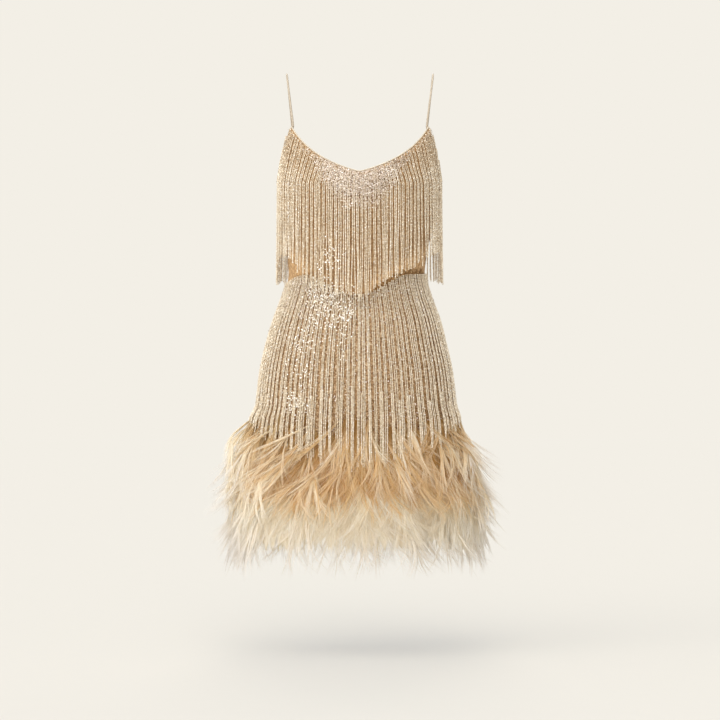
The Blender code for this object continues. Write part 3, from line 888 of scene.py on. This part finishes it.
def build_fringe(made, chance):
    """Beaded fringe in pairs of strands, one mesh for each length of tape."""
    neck = (STRAP_ANGLE - CLEAR_OF_STRAP) * STRAND_SPREAD
    arm = (STRAP_ANGLE * STRAND_SPREAD + CLEAR_OF_STRAP, BACK_STRAP_ANGLE - CLEAR_OF_STRAP)
    behind = BACK_STRAP_ANGLE + CLEAR_OF_STRAP
    tapes = (
        ("fringe_neck_front", -neck, neck, NECK_STRANDS),
        ("fringe_neck_back", behind, 360 - behind, BACK_NECK_STRANDS),
        ("fringe_armhole_right", *arm, ARMHOLE_STRANDS),
        ("fringe_armhole_left", -arm[1], -arm[0], ARMHOLE_STRANDS),
    )
    for name, start, stop, count in tapes:
        paths = []
        for angle in even_angles(BUST_Z, start, stop, count):
            paths += bodice_pair(angle, chance)
        bead_strings(name + "_beads", paths, made["beads"], [name], chance)
    for name, start in (("fringe_skirt_front", -90.0), ("fringe_skirt_back", 90.0)):
        paths = []
        for angle in even_angles(WAIST_Z, start + SEAM_ANGLE, start + 180 - SEAM_ANGLE, SKIRT_STRANDS):
            paths += skirt_pair(angle, waist_z(angle) + 0.002, skirt_end_z(angle), chance)
        for angle in even_angles(SECOND_TIER_Z, start + 12.0, start + 168.0, SECOND_TIER_STRANDS):
            top = SECOND_TIER_Z + chance.normal(0, 0.008)
            beside = angle + chance.normal(0, 0.8)
            paths += skirt_pair(beside, top, skirt_end_z(angle) - 0.004, chance, SECOND_TIER_LIFT)
        bead_strings(name + "_beads", paths, made["beads"], [name], chance)


def scatter(count, low, high, chance, keep):
    """Random places between two heights all round the body, thinned by keep(angle, z)."""
    angle = chance.uniform(-180, 180, count)
    z = low(angle) + (high(angle) - low(angle)) * chance.uniform(0, 1, count)
    held = chance.uniform(0, 1, count) < keep(angle, z)
    return angle[held], z[held]



def build_sequins(made, chance):
    """Seed beads over the top of the bodice, sequins under the skirt's strands, and bright paillettes in
    patches that paint glints of light.
    """

    def under_neck(angle):
        return top_z(angle) - SEED_DEPTH

    def near_edge(angle, z):
        below = (top_z(angle) - z) / SEED_DEPTH
        centre = 1 - ease((np.abs(signed(angle)) - 12.0) / 30.0)
        depth = 0.22 + 0.78 * centre
        return ease((depth - below) / (0.75 * depth)) * (0.08 + 0.92 * centre)

    angle, z = scatter(SEED_TRIES, under_neck, top_z, chance, near_edge)
    out = CLOTH + chance.uniform(0.0026, 0.0044, len(angle))
    sequins("bodice_seed_beads", angle, z, out, SEED_RADIUS, 0.25, made["seeds"], chance, 0.55)

    def skirt_low(angle):
        return np.full(np.shape(angle), SEQUINS_END_Z)

    def near_waist(angle, z):
        # Sequins grow denser towards the left and the top; the extra ones on the left paint the sheen where
        # the light falls
        to_left = ease(0.5 - np.sin(np.radians(angle)) / 0.9)
        return 0.15 + (0.3 + 0.55 * to_left) * ease((z + 0.47) / 0.10)

    angle, z = scatter(SEQUIN_TRIES, skirt_low, waist_z, chance, near_waist)
    out = CLOTH + chance.uniform(0.0010, 0.0040, len(angle))
    sequins("skirt_sequins", angle, z, out, SEQUIN_RADIUS, 0.35, made["seeds"], chance, 0.58)

    angle = chance.uniform(*GOLD_EDGE, GOLD_BEADS)
    scallop = 0.35 + 0.65 * np.abs(np.sin(np.radians(angle) * GOLD_SCALLOPS))
    z = waist_z(angle) - 0.001 + GOLD_DEPTH * scallop * chance.uniform(0, 1, GOLD_BEADS) ** 0.5
    out = CLOTH + chance.uniform(0.0004, 0.0016, GOLD_BEADS)
    sequins("waist_gold_beads", angle, z, out, GOLD_RADIUS, 0.3, made["gold"], chance, 0.35)

    # Painted glints: near-white paillettes gathered in patches where light glints off the sequins
    angle = np.concatenate([chance.normal(p.angle, p.angle_spread, p.count) for p in GLINT_PATCHES])
    z = np.concatenate([chance.normal(p.z, p.z_spread, p.count) for p in GLINT_PATCHES])
    out = CLOTH + chance.uniform(0.0036, 0.0052, len(angle))
    sequins("paillettes_painted_glint", angle, z, out, SEQUIN_RADIUS, 0.35, made["paillettes"], chance, 0.55, 0.3)



def feather_lines(tier, plume, start, stop, chance):
    """(points of every barb's line, directions across, level directions out, tone) of a tier's barbs.

    A lock leaves the tape in one place and sweeps to its side. Its barbs part into fingers, and each
    finger swells and closes to its own point.
    """
    s = np.linspace(0, 1, PLUME_ROWS)
    locks = plume.locks
    count = plume.fingers * plume.barbs

    def per_lock(values):
        return values[:, None, None]

    def per_finger(values):
        return np.repeat(values, plume.barbs, axis=1)[..., None]

    def fingers(middle, spread):
        return per_finger(chance.normal(middle, spread, (locks, plume.fingers)))

    place = start + (stop - start) * (np.arange(locks) + chance.uniform(0, 1, locks)) / locks
    root_z = chance.uniform(plume.root_low, plume.root_high, locks)
    away = np.sin(2 * np.radians(signed(place)))
    lean = plume.sweep * away * chance.uniform(0.2, 1.3, locks) + chance.normal(0, 0.28, locks)
    curl = plume.curl * away * chance.uniform(-0.3, 1.6, locks) + chance.normal(0, 0.35, locks)
    stand = chance.uniform(*plume.stand, locks)
    kick = plume.kick * chance.uniform(-0.1, 1.0, locks) * (0.3 + 0.7 * side_share(place))
    shape = (locks, count, 1)

    reach = per_lock(plume.length * chance.uniform(0.84, 1.08, locks))
    reach = reach * per_finger(chance.uniform(0.70, 1.0, (locks, plume.fingers)))
    reach = reach * chance.uniform(0.84, 1.02, shape)
    most = per_lock(root_z) - plume.lowest
    reach = np.minimum(reach, most * per_finger(chance.uniform(0.86, 1.0, (locks, plume.fingers))))
    turn = per_lock(lean) + per_lock(curl) * s**1.5 + fingers(0, 0.28) * s**0.6 + fingers(0, 0.60) * s**2
    stray = np.where(chance.uniform(0, 1, shape) < LOOSE_SHARE, LOOSE_STRAY, BARB_STRAY)
    turn = turn + chance.normal(0, 1, shape) * stray * s**1.2
    turn = MOST_TURN * np.tanh(turn / MOST_TURN)
    step = reach / (PLUME_ROWS - 1)
    start_here = np.zeros(shape)
    aside = np.concatenate([start_here, np.cumsum(np.sin(turn[..., 1:]) * step, axis=2)], axis=2)
    down = np.concatenate([start_here, np.cumsum(np.cos(turn[..., 1:]) * step, axis=2)], axis=2)
    swell = plume.fat * np.sin(math.pi * np.minimum(0.12 + s * 0.86, 1.0))
    aside = aside + chance.normal(0, 0.55, shape) * swell
    z = per_lock(root_z) - down
    angle = per_lock(place) + np.degrees(aside / HIP_RADIUS)
    out = CLOTH + 0.0015 + tier_out(tier, angle, z) * per_lock(stand) * ease(s / 0.3)
    out = out + (per_lock(kick) + np.abs(fingers(0, 0.006))) * s**2
    out = out + np.abs(chance.normal(0, 0.5, shape)) * swell
    point, across, level = level_frames(angle, z)
    low, high = plume.stand
    # Painted shade: locks that stand deeper in the tier are darker, and all are darker towards the centre
    # front and lighter at the sides, where their tips catch the light
    painted_centre_shade = CENTRE_SHADE_DEPTH * np.cos(np.radians(signed(place) - SHADIEST_ANGLE))
    lock_tone = per_lock(0.42 + 0.35 * (stand - low) / (high - low) - painted_centre_shade)
    tone = lock_tone + fingers(0, 0.16) + chance.normal(0, 0.10, shape)
    return point + level * out[..., None], across, level, np.clip(tone, 0, 1)


def feather_tier(name, tier, plume, start, stop, material, nodes, chance):
    """One tier's barbs as flat tapering ribbons, in one mesh."""
    line, across, level, tone = feather_lines(tier, plume, start, stop, chance)
    shape = (*line.shape[:2], 1, 1)
    roll = chance.uniform(-1.1, 1.1, shape)
    flat = across * np.cos(roll) + level * np.sin(roll)
    half = plume.barb / 2 * chance.uniform(0.6, 1.2, shape) * np.array(BARB_TAPER)[:, None]
    left = line[:, :, :-1] - flat[:, :, :-1] * half
    right = line[:, :, :-1] + flat[:, :, :-1] * half
    ribbons = line.shape[0] * line.shape[1]
    body = np.stack([left, right], axis=3).reshape(ribbons, (PLUME_ROWS - 1) * 2, 3)
    points = np.concatenate([body, line[:, :, -1].reshape(ribbons, 1, 3)], axis=1)
    corners = points.shape[1]
    first = (np.arange(ribbons) * corners)[:, None, None]
    k = 2 * np.arange(PLUME_ROWS - 2)
    quads = (np.stack([k, k + 1, k + 3, k + 2], axis=1)[None] + first).reshape(-1, 4)
    tips = (np.array([[[corners - 3, corners - 2, corners - 1]]]) + first).reshape(-1, 3)
    along = np.concatenate([np.repeat(np.linspace(0, 1, PLUME_ROWS)[:-1], 2), [1.0]])
    attributes = {"along": np.tile(along, ribbons), "tone": np.repeat(tone.reshape(-1), corners)}
    return add_piece(name, points, [quads, tips], material, nodes, attributes)


def build_down(name, tier, down, start, material, chance):
    """The soft down under a tier's plumes: a thin sheet in ridges that run down it to a ragged edge."""
    s = np.linspace(0, 1, DOWN_ROWS)[:, None]
    angles = np.linspace(start, start + 180, DOWN_COLUMNS)
    top = down.top + chance.uniform(-down.ragged, down.ragged, DOWN_COLUMNS)
    end = down.bottom + chance.uniform(-down.ragged, down.ragged, DOWN_COLUMNS)
    z = top + (end - top) * s
    coarse = np.interp(angles, np.linspace(start, start + 180, 60), chance.uniform(0, 1, 60))
    ridge = 0.5 * coarse + 0.5 * chance.uniform(0, 1, DOWN_COLUMNS)
    a = angles + np.sin(2 * np.radians(signed(angles))) * 5.0 * s**1.5 + 2.0 * coarse * s
    out = CLOTH + 0.0012 + down.share * tier_out(tier, a, z) * ease(s / 0.35)
    out = out + DOWN_RIDGE * ridge * ease(s / 0.2)
    point, _, level = level_frames(a, z)
    outer = point + level * out[..., None]
    inner = outer - level * DOWN_THICK
    # Painted shade: the down is darker in the hollows between its ridges and towards its top, under the
    # plumes
    along, tone = np.broadcast_arrays(0.6 * s, np.clip(0.1 + 0.5 * ridge, 0, 1))
    attributes = {"along": np.concatenate([along, along]), "tone": np.concatenate([tone, tone])}
    return shell(name, inner, outer, material, (), attributes)


def build_feathers(made, chance):
    """Two tiers of ostrich feathers over their down, and the loose wisps at the sides and the hem."""
    layers = (
        ("under_plumes", UPPER_TIER, UNDER_PLUME, "golden", "feathers_upper"),
        ("upper_plumes", UPPER_TIER, UPPER_PLUME, "upper", "feathers_upper"),
        ("lower_plumes", LOWER_TIER, LOWER_PLUME, "lower", "feathers_lower"),
        ("hem_wisps", LOWER_TIER, HEM_WISPS, "wisps", None),
    )
    for side, start in (("front", -90.0), ("back", 90.0)):
        for name, tier, plume, material, stands_for in layers:
            nodes = [f"{stands_for}_{side}"] if stands_for else []
            feather_tier(f"{name}_{side}", tier, plume, start, start + 180.0, made[material], nodes, chance)
        build_down(f"upper_down_{side}", UPPER_TIER, UPPER_DOWN, start, made["golden"], chance)
        build_down(f"lower_down_{side}", LOWER_TIER, LOWER_DOWN, start, made["lower"], chance)
    for side, middle in (("right", 90.0), ("left", -90.0)):
        name = f"side_wisps_{side}"
        start = middle - SIDE_WISP_SPAN / 2
        stop = middle + SIDE_WISP_SPAN / 2
        feather_tier(name, UPPER_TIER, SIDE_WISPS, start, stop, made["wisps"], [], chance)


# Studio

def build_floor():
    """Pale floor under the dress that fades into the background, as an endless studio sweep does."""
    mesh = bpy.data.meshes.new("floor")
    corners = [(x * FLOOR_REACH, y * FLOOR_REACH, FLOOR_Z) for x, y in ((-1, -1), (1, -1), (1, 1), (-1, 1))]
    mesh.from_pydata(corners, [], [(0, 1, 2, 3)])
    made = add_object("floor", mesh)
    material, tree, shader = new_material("floor paper")
    dark = tuple(0.99 * value for value in FLOOR_PAPER)
    grain = ramp(tree, noise(tree, 40.0), [(0.3, dark), (0.7, FLOOR_PAPER)])
    tree.links.new(grain, shader.inputs["Base Color"])
    set_inputs(shader, {"Roughness": 1.0, "Specular IOR Level": 0.0})
    set_inputs(shader, {"Emission Color": FLOOR_GLOW, "Emission Strength": 1.0})
    away = node(tree, "ShaderNodeVectorMath", operation="LENGTH")
    tree.links.new(object_place(tree, (1.0, 1.0, 0.0)), away.inputs[0])
    fade = node(tree, "ShaderNodeMapRange", interpolation_type="SMOOTHSTEP")
    set_inputs(fade, {"From Min": FLOOR_FADE[0], "From Max": FLOOR_FADE[1]})
    tree.links.new(away.outputs["Value"], fade.inputs["Value"])
    far = node(tree, "ShaderNodeEmission")
    set_inputs(far, {"Color": BACKGROUND})
    mixed = mix_shaders(tree, fade.outputs["Result"], shader.outputs["BSDF"], far.outputs["Emission"])
    tree.links.new(mixed, tree.nodes["Material Output"].inputs["Surface"])
    mesh.materials.append(material)


def add_sun(name, towards, strength, spread, casts_shadow=True):
    """A sun lamp that shines along the given direction."""
    lamp = bpy.data.lights.new(name, "SUN")
    lamp.energy = strength
    lamp.angle = math.radians(spread)
    lamp.use_shadow = casts_shadow
    made = add_object(name, lamp)
    made.rotation_mode = "QUATERNION"
    made.rotation_quaternion = Vector(towards).to_track_quat("-Z", "Y")


def build_world():
    """Soft light from all round, brighter from above and in front, behind a plain pale background."""
    world = bpy.data.worlds.new("studio")
    bpy.context.scene.world = world
    world.use_nodes = True
    tree = world.node_tree
    light = tree.nodes["Background"]
    place = node(tree, "ShaderNodeTexCoord")
    facing = node(tree, "ShaderNodeVectorMath", operation="DOT_PRODUCT")
    facing.inputs[1].default_value = Vector((-0.50, -0.60, 0.62)).normalized()
    tree.links.new(place.outputs["Generated"], facing.inputs[0])
    scaled = node(tree, "ShaderNodeMapRange")
    set_inputs(scaled, {"From Min": -1.0, "From Max": 1.0})
    tree.links.new(facing.outputs["Value"], scaled.inputs["Value"])
    colours = ramp(tree, scaled.outputs["Result"], [
        (0.0, (0.19, 0.17, 0.14, 1.0)),
        (0.5, (0.38, 0.36, 0.32, 1.0)),
        (0.8, (0.84, 0.84, 0.84, 1.0)),
        (1.0, (1.38, 1.38, 1.38, 1.0)),
    ])
    tree.links.new(colours, light.inputs["Color"])
    shown = node(tree, "ShaderNodeBackground")
    set_inputs(shown, {"Color": BACKGROUND})
    path = node(tree, "ShaderNodeLightPath")
    is_camera = path.outputs["Is Camera Ray"]
    mixed = mix_shaders(tree, is_camera, light.outputs["Background"], shown.outputs["Background"])
    tree.links.new(mixed, tree.nodes["World Output"].inputs["Surface"])


def build_studio():
    build_floor()
    build_world()
    add_sun("key light", (0.90, 0.80, -0.90), 0.70, 50.0)
    add_sun("front fill", (0.85, 1.00, -0.25), 0.52, 50.0, casts_shadow=False)
    add_sun("back fill", (-0.45, -1.00, 0.0), 0.8, 50.0, casts_shadow=False)
    for lean in TOP_LIGHT_LEANS:
        add_sun(f"top light {lean:+.2f}", (0.0, lean, -1.0), TOP_LIGHT, 30.0)
    bpy.context.scene.view_settings.view_transform = "Standard"
    height = -(PICTURE_SIDE / 2 - STRAP_TOP_ROW) * METRES_A_PIXEL
    data = bpy.data.cameras.new("camera")
    data.sensor_width = SENSOR_WIDTH
    data.lens = SENSOR_WIDTH * CAMERA_DISTANCE / (PICTURE_SIDE * METRES_A_PIXEL)
    data.clip_end = 200.0
    made = add_object("camera", data)
    tilt = math.radians(CAMERA_ELEVATION)
    made.location = (0.0, -CAMERA_DISTANCE * math.cos(tilt), height + CAMERA_DISTANCE * math.sin(tilt))
    made.rotation_euler = (math.pi / 2 - tilt, 0.0, 0.0)
    bpy.context.scene.camera = made


def main():
    chance = np.random.default_rng(RANDOM_SEED)
    made = make_materials()
    build_studio()
    build_trim(made)
    build_cloth(made)
    build_fringe(made, chance)
    build_sequins(made, chance)
    build_feathers(made, chance)
    bpy.context.view_layer.update()


main()
